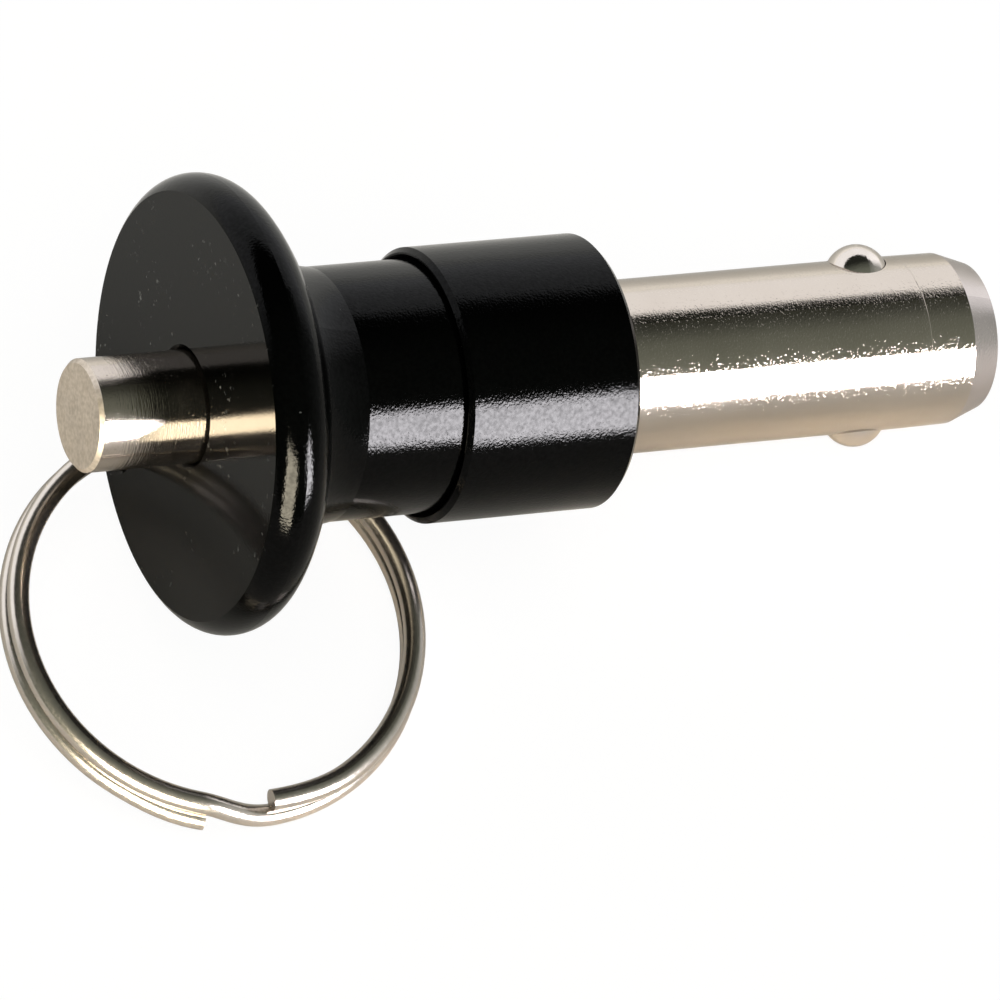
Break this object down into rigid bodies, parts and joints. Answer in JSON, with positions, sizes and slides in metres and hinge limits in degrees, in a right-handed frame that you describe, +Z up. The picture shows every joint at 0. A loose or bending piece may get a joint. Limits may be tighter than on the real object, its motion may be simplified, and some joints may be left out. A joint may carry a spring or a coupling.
{
  "type": "ball lock pin",
  "caption": "Ball lock pin with a mushroom handle, spring-loaded push button, hollow shank with locking balls and a split key ring.",
  "frame": {"origin": "centre of the shoulder, where the pin's axis crosses the collar's front face", "axes": "+X the way the axis points towards the nose in plan, +Y across it, +Z up from the floor that the pin lies on"},
  "size_m": [0.0775, 0.0432, 0.0327],
  "materials": {
    "black_anodise": "black anodised, satin, fine turning marks",
    "polished_stainless": "polished stainless steel with light scratches",
    "satin_stainless": "satin turned stainless steel",
    "spindle_steel": "ground stainless steel",
    "ball_steel": "polished ball-bearing steel",
    "spring_steel": "drawn spring wire",
    "nickel_plate": "bright nickel plate on steel wire"
  },
  "bodies": {
    "handle": {"handle_knob": "black_anodise", "collar": "black_anodise", "shank": "polished_stainless", "return_spring": "spring_steel"},
    "plunger": {"push_button": "satin_stainless", "spindle": "spindle_steel"},
    "upper_ball": {"ball_upper": "ball_steel"},
    "lower_ball": {"ball_lower": "ball_steel"},
    "ring": {"split_ring": "nickel_plate"}
  },
  "joints": [
    {"name": "button_push", "type": "slide", "parent": "handle", "child": "plunger", "axis": [0.9848, 0, -0.1735], "range_m": [0, 0.00394], "stiffness_N_per_m": 900, "springref_m": -0.006, "deforming": ["return_spring"]},
    {"name": "upper_ball_retract", "type": "slide", "parent": "handle", "child": "upper_ball", "axis": [-0.115, -0.749, -0.6526], "range_m": [0, 0.00128]},
    {"name": "lower_ball_retract", "type": "slide", "parent": "handle", "child": "lower_ball", "axis": [0.115, 0.749, 0.6526], "range_m": [0, 0.00128]},
    {"name": "ring_swing", "type": "hinge", "parent": "handle", "child": "ring", "pos_m": [-0.03028, 0.00396, -0.00649], "axis": [-0.9948, -0.0439, 0.0916], "range_deg": [-216, 2]}
  ],
  "couplings": [
    {"joint": "upper_ball_retract", "follows": "button_push", "ratio": 0.32492},
    {"joint": "lower_ball_retract", "follows": "button_push", "ratio": 0.32492}
  ]
}
